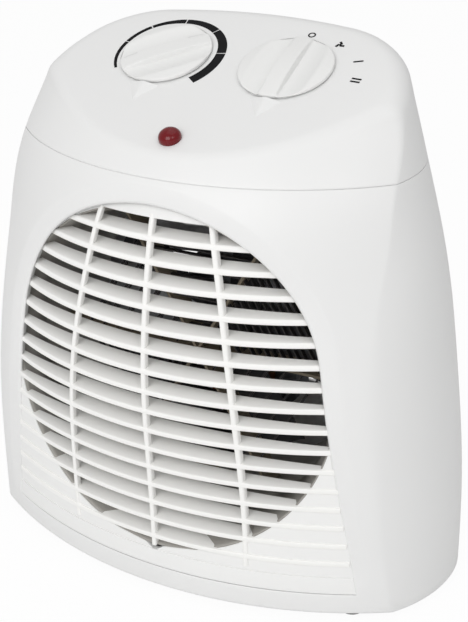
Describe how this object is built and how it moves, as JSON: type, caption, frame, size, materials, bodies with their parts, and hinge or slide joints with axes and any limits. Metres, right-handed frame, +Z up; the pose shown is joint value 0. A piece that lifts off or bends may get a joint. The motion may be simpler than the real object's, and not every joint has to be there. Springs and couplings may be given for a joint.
{
  "type": "fan heater",
  "caption": "Upright desk-top fan heater with a louvred front grille, a sloping panel with thermostat and mode knobs, a pilot lamp, and the air duct, element and fan inside.",
  "frame": {"origin": "centre of the bounding box in X and Y, at the floor under the feet", "axes": "X to the right seen from the front, Y to the back, Z up"},
  "size_m": [0.2268, 0.1269, 0.2338],
  "materials": {
    "housing_white": "moulded white plastic with a fine satin grain",
    "grille_white": "moulded white plastic, smooth satin",
    "knob_white": "white plastic, satin with a faint turned rim",
    "print_black": "thin black pad print",
    "lens_red": "clear dark red plastic",
    "lamp_glass": "clear glass neon lamp",
    "duct_grey": "grey coated sheet",
    "mica": "flaky pale mica board",
    "heater_ribbon": "dull heat-stained resistance ribbon",
    "cutout_metal": "bare aluminium cap",
    "fuse_metal": "plated brass tube",
    "fan_grey": "dark grey moulded plastic",
    "shaft_steel": "ground steel",
    "core_steel": "stacked steel plates",
    "winding": "enamelled copper winding under tape",
    "bracket_zinc": "zinc plated sheet steel",
    "screw_zinc": "zinc plated steel",
    "spindle_nylon": "natural nylon",
    "phenolic_brown": "dark moulded phenolic",
    "block_nylon": "natural nylon",
    "rubber_black": "black rubber"
  },
  "bodies": {
    "housing": {"front_housing": "housing_white", "rear_cover": "housing_white", "top_cover": "housing_white", "front_grille": "grille_white", "dial_marks": "print_black", "thermostat_body": "phenolic_brown", "switch_body": "phenolic_brown", "control_screws": "screw_zinc", "pilot_lens": "lens_red", "pilot_lamp": "lamp_glass", "duct_shroud": "duct_grey", "mica_frame": "mica", "heating_coil": "heater_ribbon", "thermal_cutout": "cutout_metal", "thermal_fuse": "fuse_metal", "motor_core": "core_steel", "motor_coil": "winding", "motor_bracket": "bracket_zinc", "motor_screws": "screw_zinc", "terminal_block": "block_nylon", "cord_inlet_bush": "rubber_black", "feet": "rubber_black", "housing_screws": "screw_zinc"},
    "thermostat": {"thermostat_knob": "knob_white", "thermostat_spindle": "spindle_nylon"},
    "mode": {"mode_knob": "knob_white", "switch_spindle": "spindle_nylon"},
    "fan": {"fan_impeller": "fan_grey", "fan_retainer": "screw_zinc", "motor_shaft": "shaft_steel", "motor_rotor": "core_steel"}
  },
  "joints": [
    {"name": "thermostat_turn", "type": "hinge", "parent": "housing", "child": "thermostat", "pos_m": [-0.0275, 0.009, 0.2192], "axis": [0, -0.4019, 0.9157], "range_deg": [-257, 0]},
    {"name": "mode_turn", "type": "hinge", "parent": "housing", "child": "mode", "pos_m": [0.0275, 0.009, 0.2192], "axis": [0, -0.4019, 0.9157], "range_deg": [-90, 0]},
    {"name": "fan_spin", "type": "hinge", "parent": "housing", "child": "fan", "pos_m": [0, 0, 0.1], "axis": [0, 1, 0], "continuous": true}
  ]
}
